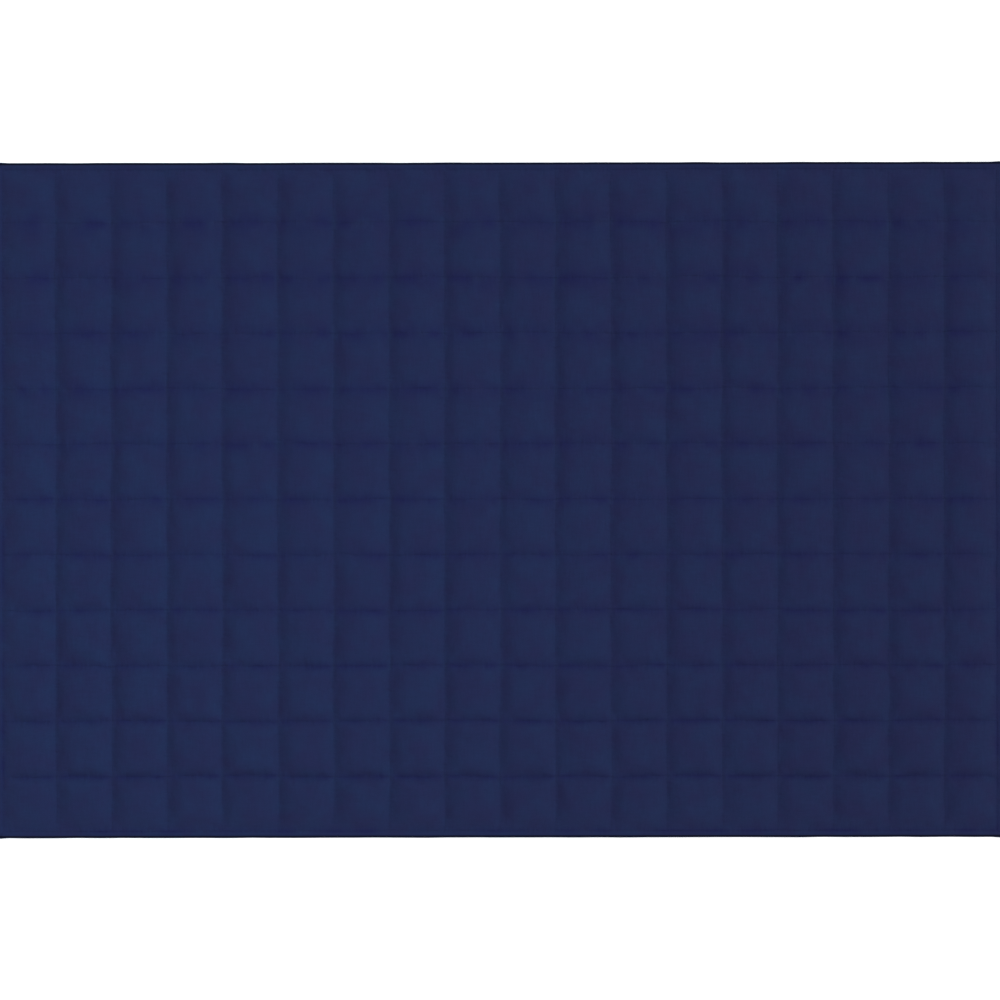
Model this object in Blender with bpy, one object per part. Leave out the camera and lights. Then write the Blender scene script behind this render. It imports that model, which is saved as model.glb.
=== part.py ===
import math
import random

import bmesh
import bpy

# Driving dimensions, in metres. The blanket lies flat on z = 0 with its long side along X.
LENGTH = 1.820
WIDTH = 1.220
SQUARE = 0.100
COLUMNS = 18
ROWS = 12
HEM = 0.0125
CORNER_RADIUS = 0.005

# Heights of the two cloths where the quilting sews them together.
SEAM_TOP = 0.0035
SEAM_UNDER = 0.0020

# The puffed top of a square, from its seams inwards: how far in, and how high above the seams.
CROWN_RINGS = (
    {"from_seam": 0.010, "rise": 0.0037},
    {"from_seam": 0.027, "rise": 0.0078},
)
CROWN_RISE = 0.0092

# The filling is uneven, so a square stands this share above or below the usual height.
FILL_SPREAD = 0.12
INSET_SPREAD = 0.10

# The flat foot of a square, under which the filling lies on the surface.
FOOT_INSET = 0.010

# The turned hem in section, from the upper edge stitching out round the edge and back underneath.
HEM_SECTION = (
    {"out": 0.0035, "height": 0.0050},
    {"out": 0.0100, "height": 0.0046},
    {"out": HEM, "height": 0.0030},
    {"out": HEM, "height": 0.0012},
    {"out": 0.0100, "height": 0.0},
    {"out": 0.0035, "height": 0.0},
    {"out": 0.0, "height": SEAM_UNDER},
)

NAVY_COTTON = {"colour": (0.0168, 0.0252, 0.0782, 1.0), "roughness": 0.85}
TINY = 1e-5


def clear_scene():
    for thing in list(bpy.data.objects):
        bpy.data.objects.remove(thing)


def cotton_material():
    material = bpy.data.materials.new("navy_cotton")
    material.use_nodes = True
    shader = material.node_tree.nodes["Principled BSDF"]
    shader.inputs["Base Color"].default_value = NAVY_COTTON["colour"]
    shader.inputs["Roughness"].default_value = NAVY_COTTON["roughness"]
    shader.inputs["Metallic"].default_value = 0.0
    return material


def seam_grid(bm, height):
    """One cloth as a flat sheet with an edge along every seam, out to the edge stitching."""
    first = len(bm.faces)
    made = bmesh.ops.create_grid(bm, x_segments=COLUMNS, y_segments=ROWS, size=0.5)
    stitch_x = LENGTH / 2 - HEM
    stitch_y = WIDTH / 2 - HEM
    for v in made["verts"]:
        x = v.co.x * COLUMNS * SQUARE
        y = v.co.y * ROWS * SQUARE
        v.co.x = max(-stitch_x, min(stitch_x, x))
        v.co.y = max(-stitch_y, min(stitch_y, y))
        v.co.z = height
    bm.faces.ensure_lookup_table()
    return bm.faces[first:]


def puff_up(bm, squares):
    """Raises each square into a crowned pad, some fuller than others."""
    rng = random.Random(18)
    for square in squares:
        fill = 1 + rng.uniform(-FILL_SPREAD, FILL_SPREAD)
        spread = 1 + rng.uniform(-INSET_SPREAD, INSET_SPREAD)
        inset = 0.0
        rise = 0.0
        for ring in CROWN_RINGS:
            bmesh.ops.inset_individual(
                bm,
                faces=[square],
                thickness=ring["from_seam"] * spread - inset,
                depth=ring["rise"] * fill - rise,
                use_even_offset=True,
            )
            inset = ring["from_seam"] * spread
            rise = ring["rise"] * fill
        bmesh.ops.poke(bm, faces=[square], offset=CROWN_RISE * fill - rise)


def set_feet(bm, squares):
    """Lowers the middle of each square of the lower cloth onto the surface."""
    bmesh.ops.reverse_faces(bm, faces=squares)
    bmesh.ops.inset_individual(
        bm, faces=squares, thickness=FOOT_INSET, depth=SEAM_UNDER, use_even_offset=True
    )


def turn_hem(bm):
    """Carries the sheet's outer edges out over the hem and back underneath, ring by ring."""
    edges = [edge for edge in bm.edges if edge.is_boundary]
    reached = 0.0
    for ring in HEM_SECTION:
        half_length = LENGTH / 2 - HEM + reached
        half_width = WIDTH / 2 - HEM + reached
        step = ring["out"] - reached
        made = bmesh.ops.extrude_edge_only(bm, edges=edges)
        for v in (item for item in made["geom"] if isinstance(item, bmesh.types.BMVert)):
            if abs(v.co.x) > half_length - TINY:
                v.co.x += step * math.copysign(1, v.co.x)
            if abs(v.co.y) > half_width - TINY:
                v.co.y += step * math.copysign(1, v.co.y)
            v.co.z = ring["height"]
        edges = [item for item in made["geom"] if isinstance(item, bmesh.types.BMEdge)]
        edges = [edge for edge in edges if edge.is_boundary]
        reached = ring["out"]


def round_corners(bm):
    """Rounds the four outer corners of the hem."""
    corners = [
        edge
        for edge in bm.edges
        if all(
            abs(abs(v.co.x) - LENGTH / 2) < TINY and abs(abs(v.co.y) - WIDTH / 2) < TINY
            for v in edge.verts
        )
    ]
    bmesh.ops.bevel(
        bm, geom=corners, offset=CORNER_RADIUS, segments=3, profile=0.5, affect="EDGES"
    )


def quilted_blanket(collection):
    """Two cloths, filled and sewn through in a grid, with a hem turned round the outside."""
    bm = bmesh.new()
    upper = seam_grid(bm, SEAM_TOP)
    turn_hem(bm)
    lower = seam_grid(bm, SEAM_UNDER)
    bmesh.ops.remove_doubles(bm, verts=bm.verts, dist=TINY)
    round_corners(bm)
    puff_up(bm, upper)
    set_feet(bm, lower)
    bmesh.ops.recalc_face_normals(bm, faces=bm.faces)
    mesh = bpy.data.meshes.new("quilted_blanket")
    bm.to_mesh(mesh)
    bm.free()
    mesh.materials.append(cotton_material())
    mesh.shade_smooth()
    mesh.set_sharp_from_angle(angle=math.radians(50))
    blanket = bpy.data.objects.new("quilted_blanket", mesh)
    collection.objects.link(blanket)
    return blanket


def main():
    clear_scene()
    collection = bpy.data.collections.new("weighted_blanket")
    bpy.context.scene.collection.children.link(collection)
    quilted_blanket(collection)


main()
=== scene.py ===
import math
import random
import time

import bpy
import numpy as np
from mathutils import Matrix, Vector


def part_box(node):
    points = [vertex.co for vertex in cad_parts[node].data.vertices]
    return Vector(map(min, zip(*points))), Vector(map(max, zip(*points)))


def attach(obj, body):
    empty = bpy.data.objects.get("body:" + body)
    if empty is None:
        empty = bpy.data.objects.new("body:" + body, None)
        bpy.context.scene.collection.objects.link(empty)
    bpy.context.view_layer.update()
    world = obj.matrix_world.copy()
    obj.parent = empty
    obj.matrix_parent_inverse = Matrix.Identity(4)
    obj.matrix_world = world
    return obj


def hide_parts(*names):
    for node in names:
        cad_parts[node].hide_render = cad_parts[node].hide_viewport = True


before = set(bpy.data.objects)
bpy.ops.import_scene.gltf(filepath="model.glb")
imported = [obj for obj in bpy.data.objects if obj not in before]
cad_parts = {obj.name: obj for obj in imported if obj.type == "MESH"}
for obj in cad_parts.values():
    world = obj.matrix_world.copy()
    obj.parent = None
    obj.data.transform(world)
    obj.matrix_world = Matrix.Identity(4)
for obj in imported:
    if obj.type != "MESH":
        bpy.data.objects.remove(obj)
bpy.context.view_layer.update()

# A quilted weighted blanket, laid flat on a white surface and seen from straight above.
# Two cotton cloths are sewn through in a grid, so every square stands up as its own small pad.

started = time.time()
low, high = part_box("quilted_blanket")

quilt = {
    "columns": 18,  # squares along the blanket
    "rows": 12,  # squares across it
    "squareX": 0.1003,  # from seam to seam, though the squares at the edges are a little narrower
    "squareY": 0.1001,
    "shiftX": 0.0010,  # the whole grid was sewn a little off centre
    "shiftY": 0.0018,
    "hem": 0.0125,  # from the edge stitching to the outside
    "seamTop": 0.0035,  # height of the upper cloth where the thread holds it down
    "seamUnder": 0.0020,  # height of the lower cloth there
    "seamUneven": 0.0004,  # how much the upper seams rise and fall
    "seamLength": 0.035,
    "underUneven": 0.25,  # the same for the lower seams, as a share of their height
    "underLength": 0.030,
    "drift": 0.0019,  # how far the sewn lines wander off the straight
    "driftLength": 0.070,
    "shiver": 0.0007,  # and in short wiggles
    "shiverLength": 0.013,
    "edgeCalm": 0.05,  # this near to the edges the quilting grows even and straight
    # mesh lines from a seam to the middle of a square, across the channels and along them
    "cellsX": (0.0030, 0.0048, 0.0058, 0.0060, 0.0060, 0.0061, 0.0061, 0.0061, 0.0061),
    "cellsY": (0.0012, 0.0018, 0.0035, 0.0055, 0.0066, 0.0076, 0.0079, 0.0079, 0.0080),
}
cells = 2 * len(quilt["cellsX"])  # mesh cells across a square, the same both ways

# each kind of unevenness has its own number, so every run gives the same blanket
noiseSeeds = {
    "upperSeams": 21, "lowerSeams": 22, "ride": 23, "lumps": 24, "channelPucker": 25, "lips": 26,
    "crossPucker": 28, "shade": 29, "hemShade": 30, "driftX": 31, "driftY": 32, "shiverX": 33,
    "shiverY": 34, "ripple": 41, "waver": 42,
}


def between(a, b, share):
    return a + (b - a) * share


def softNoise(x, y, size, kind):
    # smooth random values from -1 to 1 over the plan, with bumps of about this size
    side = 256  # of the square lattice of random values, which repeats beyond it
    middle = 100  # where in the lattice the blanket's middle lies
    lattice = np.random.default_rng(noiseSeeds[kind]).uniform(-1, 1, (side, side))
    u = x / size + middle
    v = y / size + middle
    iu = np.floor(u).astype(int)
    iv = np.floor(v).astype(int)
    fu = (u - iu) ** 2 * (3 - 2 * (u - iu))
    fv = (v - iv) ** 2 * (3 - 2 * (v - iv))
    west, east, south, north = iu % side, (iu + 1) % side, iv % side, (iv + 1) % side
    nearRow = between(lattice[south, west], lattice[south, east], fu)
    farRow = between(lattice[north, west], lattice[north, east], fu)
    return between(nearRow, farRow, fv)


def planLines(seams, halfCells):
    # mesh lines between the seams, with those cells from each seam to the middle of its square
    widths = np.array(halfCells + halfCells[::-1])
    shares = np.concatenate(([0.0], np.cumsum(widths)[:-1])) / widths.sum()
    lines = [between(a, b, share) for a, b in zip(seams, seams[1:]) for share in shares]
    return np.array(lines + [seams[-1]])


def seamPlaces(count, square, shift, edge):
    places = (np.arange(count + 1) - count / 2) * square + shift
    places[0], places[-1] = -edge, edge
    return places


def quiltSeams():
    edgeX, edgeY = high.x - quilt["hem"], high.y - quilt["hem"]
    return (seamPlaces(quilt["columns"], quilt["squareX"], quilt["shiftX"], edgeX),
            seamPlaces(quilt["rows"], quilt["squareY"], quilt["shiftY"], edgeY))


def toNearest(lines, seams):
    # distance from each mesh line to the nearest seam
    return np.abs(lines[:, None] - seams[None, :]).min(axis=1)


def squareAt(row, column):
    # which points of a cloth belong to that square, with its seams
    return np.s_[row * cells:(row + 1) * cells + 1, column * cells:(column + 1) * cells + 1]


def gridFaces(first, across, up):
    # quads between points numbered row by row
    start = first + np.arange(up)[:, None] * (across + 1) + np.arange(across)[None, :]
    return np.stack([start, start + 1, start + across + 2, start + across + 1], axis=-1).reshape(-1, 4)


def rimLoop(first, across, up):
    # the outside points of such a grid, once round, anticlockwise from above
    row = across + 1
    south = first + np.arange(across)
    east = first + across + np.arange(up) * row
    north = first + up * row + across - np.arange(across)
    west = first + (up - np.arange(up)) * row
    return np.concatenate([south, east, north, west])


def meshFrom(name, points, faces):
    mesh = bpy.data.meshes.new(name)
    mesh.from_pydata(points.tolist(), [], faces)
    mesh.validate()
    piece = bpy.data.objects.new(name, mesh)
    bpy.context.scene.collection.objects.link(piece)
    return piece


puff = {
    "columns": 6,  # the patch of squares that is inflated
    "rows": 4,
    "slack": 0.020,  # the cloth is cut this share larger than the square that it is sewn to
    "pressure": 15.0,
    "stretch": 40.0,
    "bend": 1.0,
    "mass": 0.15,
    "airDamping": 5.0,
    "frames": 18,
    "steps": 6,
    "startLift": 0.0010,
    "startNoise": 0.0008,
    "seed": 3,
    "easing": 2,  # how often the sharpest creases are eased
    "keep": 0.4,  # and what share of a crease is kept each time
}


def inflateSquares():
    # Cloth sewn down on every seam of a patch of squares, then blown up from below.
    # Gives how each square's points move, as one array for each square.
    seamsX = np.arange(puff["columns"] + 1) * quilt["squareX"]
    seamsY = np.arange(puff["rows"] + 1) * quilt["squareY"]
    x, y = np.meshgrid(planLines(seamsX, quilt["cellsX"]), planLines(seamsY, quilt["cellsY"]))
    across, up = x.shape[1] - 1, x.shape[0] - 1
    sewn = np.zeros(x.shape, bool)
    sewn[::cells, :] = True
    sewn[:, ::cells] = True
    noise = np.random.default_rng(puff["seed"]).random(x.shape)
    z = np.where(sewn, 0.0, puff["startLift"] + puff["startNoise"] * noise)
    flat = np.stack([x, y, z], axis=-1)
    cloth = meshFrom("sewnPatch", flat.reshape(-1, 3), gridFaces(0, across, up).tolist())
    pins = cloth.vertex_groups.new(name="sewn")
    pins.add(np.nonzero(sewn.ravel())[0].tolist(), 1.0, "REPLACE")
    modifier = cloth.modifiers.new("puff", "CLOTH")
    modifier.point_cache.frame_end = puff["frames"]
    settings = modifier.settings
    settings.quality = puff["steps"]
    settings.mass = puff["mass"]
    settings.tension_stiffness = puff["stretch"]
    settings.compression_stiffness = puff["stretch"]
    settings.bending_stiffness = puff["bend"]
    settings.air_damping = puff["airDamping"]
    settings.vertex_group_mass = "sewn"
    settings.shrink_min = -puff["slack"]
    settings.use_pressure = True
    settings.uniform_pressure_force = puff["pressure"]
    settings.effector_weights.gravity = 0.0
    for step in range(1, puff["frames"] + 1):
        bpy.context.scene.frame_set(step)
    blown = cloth.evaluated_get(bpy.context.evaluated_depsgraph_get()).data
    moved = np.zeros(flat.size)
    blown.vertices.foreach_get("co", moved)
    flat[..., 2] = 0.0
    moved = moved.reshape(flat.shape) - flat
    bpy.data.objects.remove(cloth)
    bpy.context.scene.frame_set(1)
    squares = []
    for row in range(puff["rows"]):
        for column in range(puff["columns"]):
            squares.append(softenCreases(moved[squareAt(row, column)]))
    # what all squares share is the plain dome, and the rest is each one's own creases
    dome = np.mean([block[..., 2] for block in squares], axis=0)
    dome = (dome + dome[::-1] + dome[:, ::-1] + dome[::-1, ::-1]) / 4
    print("dome", round(float(dome.max()) * 1000, 1), "mm")
    for block in squares:
        block[..., 2] -= dome * (block[..., 2] * dome).sum() / (dome * dome).sum()
    return squares


def softenCreases(block):
    # the seams stay where they are, and inside them the sharpest creases are eased
    smooth = block.copy()
    for _ in range(puff["easing"]):
        inner = smooth[1:-1, 1:-1]
        around = smooth[:-2, 1:-1] + smooth[2:, 1:-1] + smooth[1:-1, :-2] + smooth[1:-1, 2:]
        smooth[1:-1, 1:-1] = puff["keep"] * inner + (1 - puff["keep"]) / 4 * around
    return smooth


def turned(block, leftRight, upDown):
    # the same square seen in a mirror, either way or both
    if leftRight:
        block = block[:, ::-1] * [-1, 1, 1]
    if upDown:
        block = block[::-1] * [1, -1, 1]
    return block


# The long channels are sewn and filled first, so the cross seams ride up over the filling.
# "Top" and "Bottom" are the long edges that lie at the top and the bottom of the picture.
relief = {
    "crown": 0.0088,  # how high a square stands over the channel seams
    "fillSpread": 0.12,  # the beads are poured unevenly, so a square is this share fuller or flatter
    "fillSeed": 18,
    "flankX": 0.0174,  # how far from a channel seam a square has gained most of its crown
    "roundX": 1.5,  # and how round the valley is there, where 1 is a sharp one
    "flankTop": 0.0155,  # the same at the cross seams
    "flankBottom": 0.0125,
    "roundTop": 1.6,
    "roundBottom": 1.9,
    "flankEdge": 0.0250,  # and at the edge stitching
    "crossClear": 0.010,  # the valley of a cross seam fades out this near to the channel seams
    "rideTop": 0.90,  # share of the crown to which a cross seam rises
    "rideBottom": 0.0,
    "rideFade": 2.3,  # the higher, the nearer to the bottom edge the ride is lost
    "rideUneven": 0.35,
    "rideLength": 0.07,
    "lipTop": 0.0001,  # how far the cloth doubles over beside a cross seam
    "lipBottom": 0.0013,
    "lipFade": 1.5,
    "lipUneven": 0.9,
    "lipLength": 0.022,
    "lipReach": 0.0040,
    "lipClear": 0.009,  # it opens out again this far from the crossings
    "creases": 0.9,  # share of the simulated creases that is laid over the crown
    "creaseSeed": 5,
    "lump": 0.0009,  # beads gather in soft lumps under the cloth
    "lumpSize": 0.030,
    "lumpClear": 0.015,
    "pucker": 0.0011,  # short creases that run out from the seams
    "puckerSize": 0.013,
    "puckerStretch": 0.3,  # their width as a share of their length
    "puckerReach": 0.016,
    "puckerClear": 0.004,
}


def crossValleys(x, y, offX, offY, toLongEdge, upward):
    # how deep each point lies in a cross seam's valley, and the share of the crown that is left there
    ride = between(relief["rideTop"], relief["rideBottom"], (1 - upward) ** relief["rideFade"])
    ride *= 1 + relief["rideUneven"] * softNoise(x, y, relief["rideLength"], "ride")
    ride *= np.clip(toLongEdge / quilt["squareY"], 0, 1)  # the edges are sewn flat
    nearEdge = np.clip(1 - toLongEdge / quilt["edgeCalm"], 0, 1)
    flank = between(relief["flankBottom"], relief["flankTop"], upward)
    flank = between(flank, relief["flankEdge"], nearEdge)
    valley = np.exp(-(offY / flank) ** between(relief["roundBottom"], relief["roundTop"], upward))
    clear = np.where(nearEdge > 0, 1, 1 - np.exp(-(offX / relief["crossClear"]) ** 2))
    return valley, 1 - (1 - ride) * valley * clear


def lipHeight(x, y, offX, off, toEdge, upward):
    # the cloth doubles over beside the cross seams, mostly at the bottom
    lip = between(relief["lipTop"], relief["lipBottom"], (1 - upward) ** relief["lipFade"])
    lip *= 1 - np.exp(-offX / relief["lipClear"])
    uneven = np.clip(1 + relief["lipUneven"] * softNoise(x, y, relief["lipLength"], "lips"), 0, 2)
    lip *= uneven * np.clip(toEdge / quilt["edgeCalm"], 0, 1)
    return lip * (1 - np.exp(-(off / relief["lipReach"]) ** 2))


def puckerHeight(x, y, offX, offY, off):
    # the short creases cross the seam that they run out from
    size, stretch = relief["puckerSize"], relief["puckerStretch"]
    fromChannel = softNoise(stretch * x, y, size, "channelPucker") * np.exp(-offX / relief["puckerReach"])
    fromCross = softNoise(x, stretch * y, size, "crossPucker") * np.exp(-offY / relief["puckerReach"])
    return relief["pucker"] * np.clip(off / relief["puckerClear"], 0, 1) * (fromChannel + fromCross)


def layCreases(points, squares):
    # Lays the simulated creases over the squares, mirrored and mixed.
    # Gives how much fuller or flatter than usual each square is, at its points.
    fuller = np.zeros(points.shape[:2])
    fills = random.Random(relief["fillSeed"])
    picks = random.Random(relief["creaseSeed"])
    for row in range(quilt["rows"]):
        for column in range(quilt["columns"]):
            fuller[squareAt(row, column)] = fills.uniform(-relief["fillSpread"], relief["fillSpread"])
            fills.random()  # the solid draws a second number for each square
            block = turned(picks.choice(squares), picks.random() < 0.5, picks.random() < 0.5)
            points[squareAt(row, column)] += block * relief["creases"]
    return fuller


# Painted shade: a darker colour stands in for the shade that fine creases hold beside the cross seams,
# in wide blots at the top and a narrow band at the bottom, and along the hem's stitching. A mark of 1
# is about as dark as it gets. The last two entries are for the gathers' bumps.
shade = {
    "top": 1.5,
    "bottom": 1.85,
    "wide": 0.0200,  # how far the shade reaches at the top
    "narrow": 0.0048,  # and at the bottom
    "widening": 1.5,
    "sagTop": 0.0038,  # it lies a little below the seam
    "sagBottom": 0.0009,
    "roundTop": 1.3,  # 1 is a sharp peak, and 2 a round one
    "roundBottom": 1.9,
    "roundFade": 3,
    "clear": 0.0055,  # it fades out this near to the channel seams
    "usual": 0.8,  # it comes and goes along a seam about this share
    "patchyTop": 1.0,
    "patchyBottom": 0.35,
    "patchLength": 0.020,
    "hemTop": 0.3,
    "hemBottom": 1.8,
    "hemReach": 0.003,
    "hemPatchLength": 0.030,
    "gatherReach": 0.010,  # how far the thread's fine gathers run out from a seam
    "gatherUnder": 0.6,  # and how strong they are underneath
}


# painted shade: darkens the cloth's colour where fine creases beside the cross seams and the hem's stitching
# would hold shade
def paintCreaseShade(x, y, offX, offShade, toEdge, upward):
    reach = between(shade["narrow"], shade["wide"], upward ** shade["widening"])
    peak = between(shade["roundTop"], shade["roundBottom"], (1 - upward) ** shade["roundFade"])
    marks = np.exp(-(offShade / reach) ** peak)
    marks *= between(shade["bottom"], shade["top"], upward) * np.clip(toEdge / quilt["edgeCalm"], 0, 1)
    patchy = between(shade["patchyBottom"], shade["patchyTop"], upward)
    marks *= np.clip(shade["usual"] + patchy * softNoise(x, y, shade["patchLength"], "shade"), 0, 2)
    marks *= 1 - np.exp(-(offX / shade["clear"]) ** 2)
    hem = between(shade["hemBottom"], shade["hemTop"], upward) * np.exp(-toEdge / shade["hemReach"])
    hem *= np.clip(shade["usual"] + softNoise(x, y, shade["hemPatchLength"], "hemShade"), 0, 2)
    return marks + hem


def upperSurface(squares):
    # every point of the upper cloth between the edge stitchings, and its marks of painted shade and gathers
    # for the material
    seamsX, seamsY = quiltSeams()
    linesX, linesY = planLines(seamsX, quilt["cellsX"]), planLines(seamsY, quilt["cellsY"])
    x, y = np.meshgrid(linesX, linesY)
    offX, offY = np.meshgrid(toNearest(linesX, seamsX), toNearest(linesY, seamsY))
    off = np.minimum(offX, offY)
    toLongEdge = seamsY[-1] - np.abs(y)
    toEdge = np.minimum(seamsX[-1] - np.abs(x), toLongEdge)
    upward = (y - low.y) / (high.y - low.y)  # 0 at the bottom edge and 1 at the top edge
    points = np.stack([x, y, np.full(x.shape, quilt["seamTop"])], axis=-1)
    overChannel = 1 - np.exp(-(offX / relief["flankX"]) ** relief["roundX"])
    valley, overCross = crossValleys(x, y, offX, offY, toLongEdge, upward)
    points[..., 2] += relief["crown"] * overChannel * overCross
    rise = quilt["seamUneven"] * softNoise(x, y, quilt["seamLength"], "upperSeams")
    rise += lipHeight(x, y, offX, off, toEdge, upward)
    lumps = softNoise(x, y, relief["lumpSize"], "lumps")
    rise += relief["lump"] * np.clip(off / relief["lumpClear"], 0, 1) * lumps
    rise += puckerHeight(x, y, offX, offY, off)
    fuller = layCreases(points, squares)
    points[..., 2] += rise + relief["crown"] * fuller * overChannel * (1 - valley)
    sag = between(shade["sagBottom"], shade["sagTop"], upward[:, 0])
    offShade = toNearest(linesY + sag, seamsY)[:, None]
    marks = paintCreaseShade(x, y, offX, offShade, toEdge, upward)
    return points, marks, np.exp(-offX / shade["gatherReach"]), np.exp(-offY / shade["gatherReach"])


def lowerSurface():
    # the lower cloth lies flat under each square and lifts only at the seams
    seamsX, seamsY = quiltSeams()
    linesX = planLines(seamsX, quilt["cellsX"])[::2]
    linesY = planLines(seamsY, quilt["cellsY"])[::2]
    x, y = np.meshgrid(linesX, linesY)
    z = np.zeros(x.shape)
    z[::cells // 2, :] = quilt["seamUnder"]
    z[:, ::cells // 2] = quilt["seamUnder"]
    z *= 1 + quilt["underUneven"] * softNoise(x, y, quilt["underLength"], "lowerSeams")
    offX, offY = np.meshgrid(toNearest(linesX, seamsX), toNearest(linesY, seamsY))
    gatherX = shade["gatherUnder"] * np.exp(-offX / shade["gatherReach"])
    gatherY = shade["gatherUnder"] * np.exp(-offY / shade["gatherReach"])
    return np.stack([x, y, z], axis=-1), gatherX, gatherY


def wander(points):
    # the sewn lines aren't dead straight
    x, y = points[..., 0].copy(), points[..., 1].copy()
    calm = quilt["edgeCalm"]
    inside = np.clip((high.x - np.abs(x)) / calm, 0, 1) * np.clip((high.y - np.abs(y)) / calm, 0, 1)
    points[..., 0] += quilt["drift"] * inside * softNoise(x, y, quilt["driftLength"], "driftX")
    points[..., 1] += quilt["drift"] * inside * softNoise(x, y, quilt["driftLength"], "driftY")
    points[..., 0] += quilt["shiver"] * inside * softNoise(x, y, quilt["shiverLength"], "shiverX")
    points[..., 1] += quilt["shiver"] * inside * softNoise(x, y, quilt["shiverLength"], "shiverY")
    return points


# The hem in section, from the upper edge stitching out round the edge and back underneath. The
# turned edge is drawn in to a groove, and painted shade, a darker colour, stands for the shade in it. Each
# ring also has its share of the corners' ears, and of the painted shade and gathers along the stitching.
hemRings = (
    {"out": 0.0045, "height": 0.0048, "fold": 0.0, "ear": 0.0, "shade": 0.35},
    {"out": 0.0078, "height": 0.0048, "fold": 0.1, "ear": 0.0, "shade": 0.2},
    {"out": 0.0088, "height": 0.0042, "fold": 1.0, "ear": 0.0, "shade": 0.0},
    {"out": 0.0096, "height": 0.0029, "fold": 1.0, "ear": 0.1, "shade": 0.0},
    {"out": 0.0106, "height": 0.0036, "fold": 1.0, "ear": 0.5, "shade": 0.0},
    {"out": 0.0118, "height": 0.0031, "fold": 0.5, "ear": 0.9, "shade": 0.0},
    {"out": 0.0125, "height": 0.0018, "fold": 0.15, "ear": 1.0, "shade": 0.0},
    {"out": 0.0114, "height": 0.0004, "fold": 0.0, "ear": 0.9, "shade": 0.0},
    {"out": 0.0060, "height": 0.0, "fold": 0.0, "ear": 0.0, "shade": 0.0},
)

hemFinish = {
    "ripple": 0.0005,  # the hem's ropy puckers, in height
    "rippleLength": 0.016,
    "rippleSlant": 0.4,  # how far they lean on their way out
    "rippleFull": 0.004,  # they are flatter where the section is lower than this
    "waver": 0.0004,  # how far the hem's edge wavers
    "waverLength": 0.045,
    "cornerCalm": 0.02,  # no puckers this near to a corner
    "earOut": 0.0018,  # the folded layers make each corner stand out a little
    "earReach": 0.006,
    "earSides": 0.35,  # share of that which the straight sides beside the corner have too
    "fan": 5,  # points round each corner
    "squareness": 8.0,  # a turned corner is nearly square, where 2 would be round
    "mitre": 0.0007,  # the slanting fold across the corner, in depth
}


def hemDirections(across, up):
    # For each point of a hem ring, the stitched point that it starts from and which way it goes out.
    # Several points start from each corner, so that the hem turns round it.
    source, angles = [], []
    first = 0
    for length, outward in ((across, 270), (up, 0), (across, 90), (up, 180)):
        source += [first] * hemFinish["fan"] + list(range(first + 1, first + length))
        angles += np.linspace(outward - 90, outward, hemFinish["fan"]).tolist()
        angles += [outward] * (length - 1)
        first += length
    turn = np.radians(angles)
    way = np.stack([np.cos(turn), np.sin(turn)], axis=-1)
    return np.array(source), np.sign(way) * np.abs(way) ** (2 / hemFinish["squareness"])


def hemPoints(stitched, way):
    # rings of points that start at those stitched points
    edgeX, edgeY = high.x - quilt["hem"], high.y - quilt["hem"]
    x, y = stitched[:, 0], stitched[:, 1]
    toCorner = np.hypot(edgeX - np.abs(x), edgeY - np.abs(y))
    sides = hemFinish["earSides"] * np.exp(-(toCorner / hemFinish["earReach"]) ** 2)
    tip = (1 - hemFinish["earSides"]) * np.abs(way[:, 0] * way[:, 1])
    ear = hemFinish["earOut"] * (sides + tip)
    mitre = hemFinish["mitre"] * np.isclose(np.abs(way[:, 0]), np.abs(way[:, 1]))
    waver = hemFinish["waver"] * softNoise(x, y, hemFinish["waverLength"], "waver")
    along = np.where(np.abs(way[:, 0]) > np.abs(way[:, 1]), y, x)
    rings = []
    for ring in hemRings:
        out = ring["out"] + ring["out"] / quilt["hem"] * waver + ring["ear"] * ear
        lean = hemFinish["rippleSlant"] * ring["out"]
        wave = softNoise(along + lean, x + y, hemFinish["rippleLength"], "ripple")
        wave *= np.clip(toCorner / hemFinish["cornerCalm"], 0, 1)
        lift = hemFinish["ripple"] * wave - mitre
        lift *= min(1.0, ring["height"] / hemFinish["rippleFull"])
        rings.append(np.stack([x + way[:, 0] * out, y + way[:, 1] * out, ring["height"] + lift], axis=-1))
    return rings


def stripFaces(inner, outer):
    # faces between two rings, which are triangles where one of the rings has a point twice
    faces = []
    for face in zip(inner, outer, np.roll(outer, -1), np.roll(inner, -1)):
        faces.append([int(point) for point in dict.fromkeys(face)])
    return faces


def lowerFaces(shape, first, rim):
    # the lower cloth has half as many lines, so its outside faces take in the rim's points between
    across, up = shape[1] - 1, shape[0] - 1
    number = first + np.arange(shape[0] * shape[1])
    number[rimLoop(0, across, up)] = rim[::2]
    starts, middles, ends = rim[::2].tolist(), rim[1::2].tolist(), np.roll(rim[::2], -1).tolist()
    middleOf = {(a, b): middle for a, b, middle in zip(starts, ends, middles)}
    faces = []
    for quad in number[gridFaces(0, across, up)].tolist():
        face = []
        for a, b in zip(quad, quad[1:] + quad[:1]):
            face += [a, middleOf[a, b]] if (a, b) in middleOf else [a]
        faces.append(face[::-1])
    return faces


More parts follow.
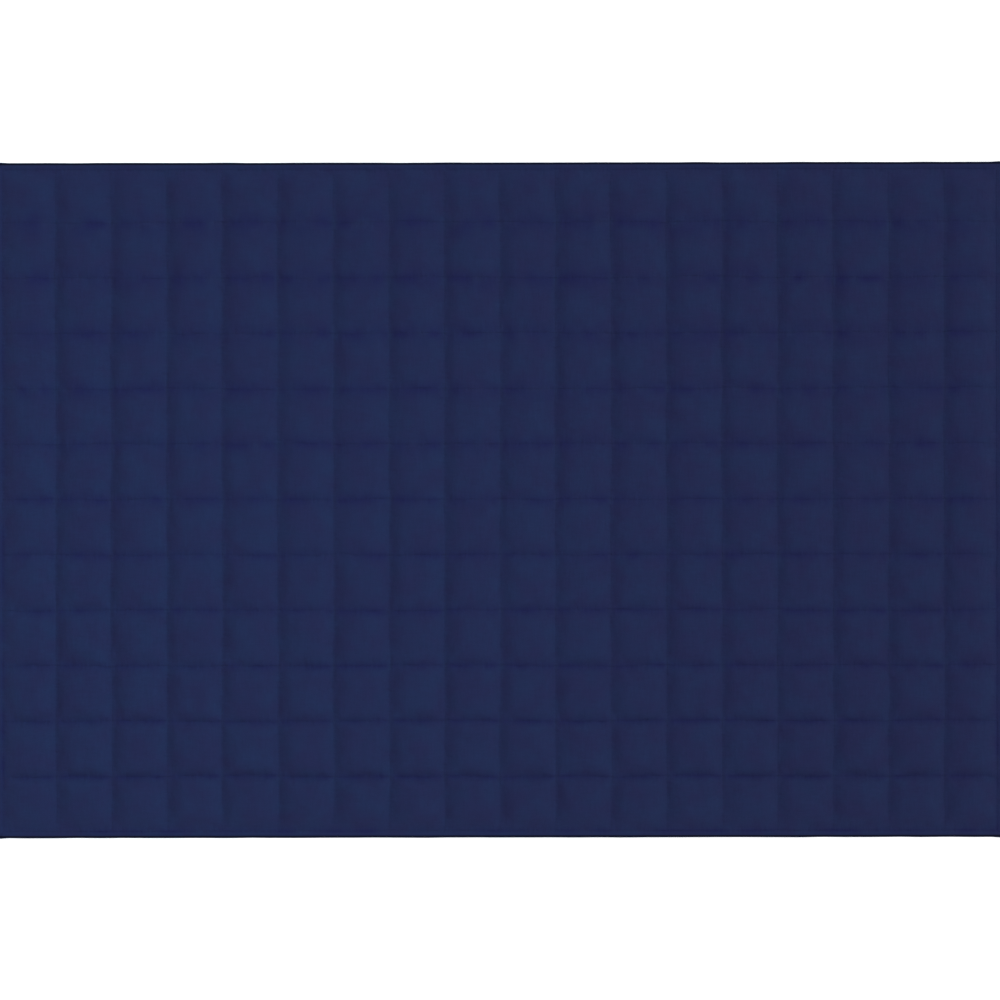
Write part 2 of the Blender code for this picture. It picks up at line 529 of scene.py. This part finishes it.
def buildCover():
    # the upper cloth, the hem, the lower edge stitching and the lower cloth, as one closed mesh
    upper, paintedShadeMark, gatherX, gatherY = upperSurface(inflateSquares())
    lower, underX, underY = lowerSurface()
    across, up = upper.shape[1] - 1, upper.shape[0] - 1
    loop = rimLoop(0, across, up)
    rim = upper.reshape(-1, 3)[loop]
    source, way = hemDirections(across, up)
    rings = hemPoints(rim[source, :2], way)
    underRim = np.stack([rim[:, 0], rim[:, 1], np.full(len(rim), quilt["seamUnder"])], axis=-1)
    upper, lower = wander(upper), wander(lower)
    points = np.concatenate([upper.reshape(-1, 3)] + rings + [underRim, lower.reshape(-1, 3)])
    faces = gridFaces(0, across, up).tolist()
    first = upper.shape[0] * upper.shape[1]
    inner = loop[source]
    for _ in rings:
        outer = first + np.arange(len(source))
        faces += stripFaces(inner, outer)
        inner = outer
        first += len(source)
    faces += stripFaces(inner, first + source)
    faces += lowerFaces(lower.shape, first + len(rim), first + np.arange(len(rim)))
    used = np.zeros(len(points), bool)
    for face in faces:
        used[face] = True
    renumber = np.cumsum(used) - 1
    cover = meshFrom("quiltedCover", points[used], [renumber[face].tolist() for face in faces])
    cover.data.shade_smooth()
    # painted shade along the hem's fold, in its groove
    folds = [np.zeros(upper[..., 2].size)] + [np.full(len(source), ring["fold"]) for ring in hemRings]
    folds += [np.zeros(len(rim)), np.zeros(lower[..., 2].size)]
    markPoints(cover.data, "paintedFoldShade", np.concatenate(folds)[used])
    # the painted crease shade and the gathers, of which the hem's rings take their share
    marks = (("paintedShadeMark", paintedShadeMark, 0 * underX), ("gatherX", gatherX, underX), ("gatherY", gatherY, underY))
    for name, above, below in marks:
        values = [above.ravel()] + [ring["shade"] * above.ravel()[loop[source]] for ring in hemRings]
        values += [np.zeros(len(rim)), below.ravel()]
        markPoints(cover.data, name, np.concatenate(values)[used])
    creaseSeams(cover.data, upper.shape)
    return cover, upper, lower


def markPoints(mesh, name, values):
    attribute = mesh.attributes.new(name, "FLOAT", "POINT")
    attribute.data.foreach_set("value", values)


def creaseSeams(mesh, shape):
    # the cloth folds sharply where the cross seams hold it, so those edges aren't shaded smooth
    ends = np.zeros(len(mesh.edges) * 2, int)
    mesh.edges.foreach_get("vertices", ends)
    ends = ends.reshape(-1, 2)
    onUpper = (ends < shape[0] * shape[1]).all(axis=1)
    row = ends // shape[1]
    crossSeam = (row[:, 0] == row[:, 1]) & (row[:, 0] % cells == 0)
    sharp = mesh.attributes.new("sharp_edge", "BOOLEAN", "EDGE")
    sharp.data.foreach_set("value", onUpper & crossSeam)


print("squares: inflating")
cover, upper, lower = buildCover()
print("cover:", sum(len(p.vertices) - 2 for p in cover.data.polygons), "triangles",
      round(time.time() - started, 1), "s")


def hexColour(text):
    # an sRGB hex value as the linear colour that the shader wants
    parts = [int(text[i:i + 2], 16) / 255 for i in (1, 3, 5)]
    return [p / 12.92 if p <= 0.04045 else ((p + 0.055) / 1.055) ** 2.4 for p in parts] + [1.0]


def addNode(tree, kind, settings=None, links=None):
    # settings and links are by the socket's name or number, and settings also by the node's own names
    node = tree.nodes.new(kind)
    for key, value in (settings or {}).items():
        if isinstance(key, int) or key in node.inputs:
            node.inputs[key].default_value = value
        else:
            setattr(node, key, value)
    for key, source in (links or {}).items():
        tree.links.new(source, node.inputs[key])
    return node


def newMaterial(name):
    material = bpy.data.materials.new(name)
    material.use_nodes = True
    material.node_tree.nodes.clear()
    return material, material.node_tree


cotton = {
    "greenish": "#1c264a",  # reactive-dyed navy takes unevenly, between a greener and a redder shade
    "reddish": "#1e2247",
    "dyePatch": 0.045,  # metres
    "yarnTone": 0.08,  # thick and thin yarns read as faint streaks both ways
    "slubLength": 0.030,
    "slubWidth": 0.0022,
    "thread": 0.0013,  # real yarns lie 0.42 mm apart, drawn three times as coarse so that they show
    "threadRise": 0.00007,
    "crumple": 0.011,  # soft creases from washing
    "crumpleRise": 0.0006,
    "gather": 0.0085,  # from one gather to the next along a seam
    "gatherLength": 0.030,
    "gatherRise": 0.0022,
    "paintedShadeColour": "#181b46",  # painted shade, a darker colour that stands for the shade in fine creases beside a seam
    "paintedShadeShare": 0.4,
    "fold": "#02061e",  # painted shade along the hem's folded edge, in its groove
    "roughness": 0.85,
    "shine": 0.1,
    "bloom": 0.03,  # the loose fibre ends
    "bloomRoughness": 0.5,
}


def wovenCotton():
    # Plain-woven cotton, piece-dyed navy and washed: matt, faintly streaked, with a soft bloom, and with
    # painted shade beside the seams and at the hem's fold
    material, tree = newMaterial("wovenCotton")
    place = addNode(tree, "ShaderNodeTexCoord").outputs["Object"]
    dye = addNode(tree, "ShaderNodeTexNoise", {
        "Scale": 1 / cotton["dyePatch"], "Detail": 3.0, "Roughness": 0.6,
    }, {"Vector": place})
    spread = addNode(tree, "ShaderNodeMapRange", {
        "From Min": 0.35, "From Max": 0.65,
    }, {"Value": dye.outputs["Fac"]})
    dyed = addNode(tree, "ShaderNodeMix", {
        "data_type": "RGBA", 6: hexColour(cotton["reddish"]), 7: hexColour(cotton["greenish"]),
    }, {0: spread.outputs["Result"]})
    long, wide = 1 / cotton["slubLength"], 1 / cotton["slubWidth"]
    streaks = []
    for scale in ((long, wide, wide), (wide, long, wide)):
        run = addNode(tree, "ShaderNodeMapping", {"Scale": scale}, {"Vector": place})
        streaks.append(addNode(tree, "ShaderNodeTexNoise", {
            "Scale": 1.0, "Detail": 1.0,
        }, {"Vector": run.outputs["Vector"]}))
    yarns = addNode(tree, "ShaderNodeMath", {"operation": "ADD"}, {
        0: streaks[0].outputs["Fac"], 1: streaks[1].outputs["Fac"],
    })
    tone = addNode(tree, "ShaderNodeMapRange", {
        "From Min": 0.6, "From Max": 1.4, "To Min": 1 - cotton["yarnTone"], "To Max": 1 + cotton["yarnTone"],
    }, {"Value": yarns.outputs[0]})
    toned = addNode(tree, "ShaderNodeVectorMath", {"operation": "SCALE"}, {
        0: dyed.outputs[2], "Scale": tone.outputs["Result"],
    })
    # painted shade: the colour is darkened where the creases beside the seams and the hem's fold would hold
    # shade
    paintedShadeMark = addNode(tree, "ShaderNodeAttribute", {"attribute_name": "paintedShadeMark"})
    share = addNode(tree, "ShaderNodeMath", {
        "operation": "MULTIPLY", 1: cotton["paintedShadeShare"],
    }, {0: paintedShadeMark.outputs["Fac"]})
    paintedShadeMix = addNode(tree, "ShaderNodeMix", {
        "data_type": "RGBA", 7: hexColour(cotton["paintedShadeColour"]),
    }, {0: share.outputs[0], 6: toned.outputs[0]})
    paintedFoldShade = addNode(tree, "ShaderNodeAttribute", {"attribute_name": "paintedFoldShade"})
    folded = addNode(tree, "ShaderNodeMix", {
        "data_type": "RGBA", 7: hexColour(cotton["fold"]),
    }, {0: paintedFoldShade.outputs["Fac"], 6: paintedShadeMix.outputs[2]})
    # the yarns pass over and under each other, and a wave texture of scale 1 repeats every pi / 10
    waves = []
    for direction in ("X", "Y"):
        waves.append(addNode(tree, "ShaderNodeTexWave", {
            "bands_direction": direction, "Scale": math.pi / 10 / (2 * cotton["thread"]), "Distortion": 0.3,
        }, {"Vector": place}))
    weave = addNode(tree, "ShaderNodeMath", {"operation": "MULTIPLY"}, {
        0: waves[0].outputs["Fac"], 1: waves[1].outputs["Fac"],
    })
    crumple = addNode(tree, "ShaderNodeTexNoise", {
        "Scale": 1 / cotton["crumple"], "Detail": 2.0, "Distortion": 0.6,
    }, {"Vector": place})
    # the thread draws the cloth into gathers that run straight out from each seam
    short, far = 1 / cotton["gather"], 1 / cotton["gatherLength"]
    gathers = []
    for name, scale in (("gatherX", (far, short, far)), ("gatherY", (short, far, far))):
        run = addNode(tree, "ShaderNodeMapping", {"Scale": scale}, {"Vector": place})
        ripple = addNode(tree, "ShaderNodeTexNoise", {
            "Scale": 1.0, "Detail": 1.0,
        }, {"Vector": run.outputs["Vector"]})
        swing = addNode(tree, "ShaderNodeMath", {"operation": "SUBTRACT", 1: 0.5}, {0: ripple.outputs["Fac"]})
        near = addNode(tree, "ShaderNodeAttribute", {"attribute_name": name})
        gathers.append(addNode(tree, "ShaderNodeMath", {"operation": "MULTIPLY"}, {
            0: swing.outputs[0], 1: near.outputs["Fac"],
        }))
    gathered = addNode(tree, "ShaderNodeMath", {"operation": "ADD"}, {
        0: gathers[0].outputs[0], 1: gathers[1].outputs[0],
    })
    drawn = addNode(tree, "ShaderNodeBump", {"Distance": cotton["gatherRise"]}, {
        "Height": gathered.outputs[0],
    })
    coarse = addNode(tree, "ShaderNodeBump", {"Distance": cotton["crumpleRise"]}, {
        "Height": crumple.outputs["Fac"], "Normal": drawn.outputs["Normal"],
    })
    fine = addNode(tree, "ShaderNodeBump", {"Distance": cotton["threadRise"]}, {
        "Height": weave.outputs[0], "Normal": coarse.outputs["Normal"],
    })
    shader = addNode(tree, "ShaderNodeBsdfPrincipled", {
        "Roughness": cotton["roughness"],
        "Specular IOR Level": cotton["shine"],
        "Sheen Weight": cotton["bloom"],
        "Sheen Roughness": cotton["bloomRoughness"],
    }, {"Base Color": folded.outputs[2], "Normal": fine.outputs["Normal"]})
    addNode(tree, "ShaderNodeOutputMaterial", None, {"Surface": shader.outputs["BSDF"]})
    return material


cover.data.materials.append(wovenCotton())
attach(cover, "root")
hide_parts("quilted_blanket")

stitch = {
    "pitch": 0.0042,  # about six stitches to the inch
    "gap": 0.0004,  # between one stitch and the next, where the thread goes down
    "thickness": 0.00055,  # a heavy quilting thread
    "taper": 0.2,  # share of a stitch's length over which it comes up to its full thickness
    "sink": 0.0005,
    "lift": 0.0002,
    "navy": "#141c42",
    "roughness": 0.7,
    "shine": 0.2,
    "twist": 0.0025,  # length of one turn of the thread's plies
    "twistRise": 0.0001,
}


def sewnLines(surface, step):
    # the points of every seam in that cloth, channels first
    channels = [surface[:, i] for i in range(0, surface.shape[1], step)]
    crossSeams = [surface[i] for i in range(0, surface.shape[0], step)]
    return channels + crossSeams


def stitchesAlong(lines, up):
    # every stitch is a small spindle that comes out of the cloth and goes back in
    starts, ends = [], []
    for line in lines:
        reach = np.concatenate(([0.0], np.cumsum(np.linalg.norm(np.diff(line, axis=0), axis=1))))
        first = np.arange(0, reach[-1] - stitch["pitch"], stitch["pitch"]) + stitch["gap"] / 2
        for places, out in ((first, starts), (first + stitch["pitch"] - stitch["gap"], ends)):
            out.append(np.stack([np.interp(places, reach, line[:, k]) for k in range(3)], axis=-1))
    starts, ends = np.concatenate(starts), np.concatenate(ends)
    along = (ends - starts) / np.linalg.norm(ends - starts, axis=1)[:, None]
    side = np.stack([-along[:, 1], along[:, 0], np.zeros(len(along))], axis=-1)
    side /= np.linalg.norm(side, axis=1)[:, None]
    rise = np.array([0.0, 0.0, up])
    columns = [starts - rise * stitch["sink"]]
    for share in (stitch["taper"], 1 - stitch["taper"]):
        middle = between(starts, ends, share) + rise * stitch["lift"]
        for turn in range(4):
            angle = math.radians(45 + 90 * turn)
            outward = math.cos(angle) * side + math.sin(angle) * rise
            columns.append(middle + stitch["thickness"] / 2 * outward)
    columns.append(ends - rise * stitch["sink"])
    points = np.stack(columns, axis=1)
    # each stitch's points are its start, two rings of four, and its end
    number = np.arange(len(points))[:, None] * points.shape[1]
    faces = []
    for turn in range(4):
        a, b = 1 + turn, 1 + (turn + 1) % 4
        faces += (number + [0, b, a]).tolist() + (number + [a, b, b + 4, a + 4]).tolist()
        faces += (number + [a + 4, b + 4, 9]).tolist()
    if up < 0:
        faces = [face[::-1] for face in faces]
    return points.reshape(-1, 3), faces


def polyesterThread():
    # Spun polyester sewing thread: smoother than the cloth, so each stitch catches a little light
    material, tree = newMaterial("polyesterThread")
    place = addNode(tree, "ShaderNodeTexCoord").outputs["Object"]
    twist = addNode(tree, "ShaderNodeTexNoise", {
        "Scale": 1 / stitch["twist"], "Detail": 1.0,
    }, {"Vector": place})
    ply = addNode(tree, "ShaderNodeBump", {"Distance": stitch["twistRise"]}, {"Height": twist.outputs["Fac"]})
    shader = addNode(tree, "ShaderNodeBsdfPrincipled", {
        "Base Color": hexColour(stitch["navy"]),
        "Roughness": stitch["roughness"],
        "Specular IOR Level": stitch["shine"],
    }, {"Normal": ply.outputs["Normal"]})
    addNode(tree, "ShaderNodeOutputMaterial", None, {"Surface": shader.outputs["BSDF"]})
    return material


threadMaterial = polyesterThread()
sewnCloths = (("upperStitching", upper, cells, 1), ("lowerStitching", lower, cells // 2, -1))
for name, surface, step, up in sewnCloths:
    points, faces = stitchesAlong(sewnLines(surface, step), up)
    thread = meshFrom(name, points, faces)
    thread.data.shade_smooth()
    thread.data.materials.append(threadMaterial)
    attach(thread, "root")
    print(name + ":", len(faces), "faces")

studio = {
    "photoWidth": 1.8063,  # metres of the blanket's plane that the picture's width takes in
    "planeHeight": 0.004,
    "lens": 120.0,
    "sensor": 36.0,
    "roll": -0.083,  # degrees
    "sight": 200.0,  # how far off the camera still sees things
    "floorReach": 60.0,  # far enough that a low view shows only white
    "floorGap": 0.0002,
    "floorWhite": 0.9,
    "floorRoughness": 0.9,
    "floorGlow": 0.45,
    "room": 0.817,
    "roomColour": (1.01, 1.0, 1.022, 1.0),
    "key": 1.18,  # a soft lamp to the right and a little up the picture
    "keyColour": (0.84, 1.0, 0.88),
    "keyHeight": 38.0,
    "keyTurn": 30.0,
    "keyDistance": 6.0,
    "keySoft": 0.4,
    "fill": 5.0,  # a weaker one that brightens the picture's left side
    "fillPlace": (2.2, 0.5, 2.6),
    "fillAim": (-2.5, -0.5, 0),
    "fillSize": 1.0,
    "fillSpread": 50.0,
    "fillColour": (0.16, 0.95, 1.0),
}


def floorSheet():
    # White paper sweep, matt and lit from all round, so it shows as plain white
    material, tree = newMaterial("whiteSweep")
    white = studio["floorWhite"]
    shader = addNode(tree, "ShaderNodeBsdfPrincipled", {
        "Base Color": (white, white, white, 1.0),
        "Roughness": studio["floorRoughness"],
        "Emission Color": (1.0, 1.0, 1.0, 1.0),
        "Emission Strength": studio["floorGlow"],
    })
    addNode(tree, "ShaderNodeOutputMaterial", None, {"Surface": shader.outputs["BSDF"]})
    corners = np.array([[-1, -1, 0], [1, -1, 0], [1, 1, 0], [-1, 1, 0]]) * studio["floorReach"]
    floor = meshFrom("floor", corners, [[0, 1, 2, 3]])
    floor.location.z = -studio["floorGap"]
    floor.data.materials.append(material)


def addLight(name, kind, place, aim, energy, **settings):
    data = bpy.data.lights.new(name, kind)
    data.energy = energy
    for key, value in settings.items():
        setattr(data, key, value)
    light = bpy.data.objects.new(name, data)
    light.location = place
    direction = Vector(aim) - Vector(place)
    light.rotation_euler = direction.to_track_quat("-Z", "Y").to_euler()
    bpy.context.scene.collection.objects.link(light)


def studioLight():
    world = bpy.data.worlds.new("paleRoom")
    bpy.context.scene.world = world
    world.use_nodes = True
    background = world.node_tree.nodes["Background"]
    background.inputs["Color"].default_value = studio["roomColour"]
    background.inputs["Strength"].default_value = studio["room"]
    height, turn = math.radians(studio["keyHeight"]), math.radians(studio["keyTurn"])
    level = studio["keyDistance"] * math.cos(height)
    place = (level * math.cos(turn), level * math.sin(turn), studio["keyDistance"] * math.sin(height))
    addLight("key", "SUN", place, (0, 0, 0), studio["key"],
             angle=studio["keySoft"], color=studio["keyColour"])
    addLight("fill", "AREA", studio["fillPlace"], studio["fillAim"], studio["fill"],
             size=studio["fillSize"], color=studio["fillColour"], spread=math.radians(studio["fillSpread"]))


def camera():
    data = bpy.data.cameras.new("camera")
    data.lens = studio["lens"]
    data.sensor_width = studio["sensor"]
    data.clip_end = studio["sight"]
    view = bpy.data.objects.new("camera", data)
    distance = studio["photoWidth"] * studio["lens"] / studio["sensor"]
    view.location = (0, 0, studio["planeHeight"] + distance)
    view.rotation_euler = (0, 0, math.radians(studio["roll"]))
    bpy.context.scene.collection.objects.link(view)
    bpy.context.scene.camera = view


floorSheet()
studioLight()
camera()
bpy.context.scene.view_settings.view_transform = "Standard"

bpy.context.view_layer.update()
print("done in", round(time.time() - started, 1), "s")
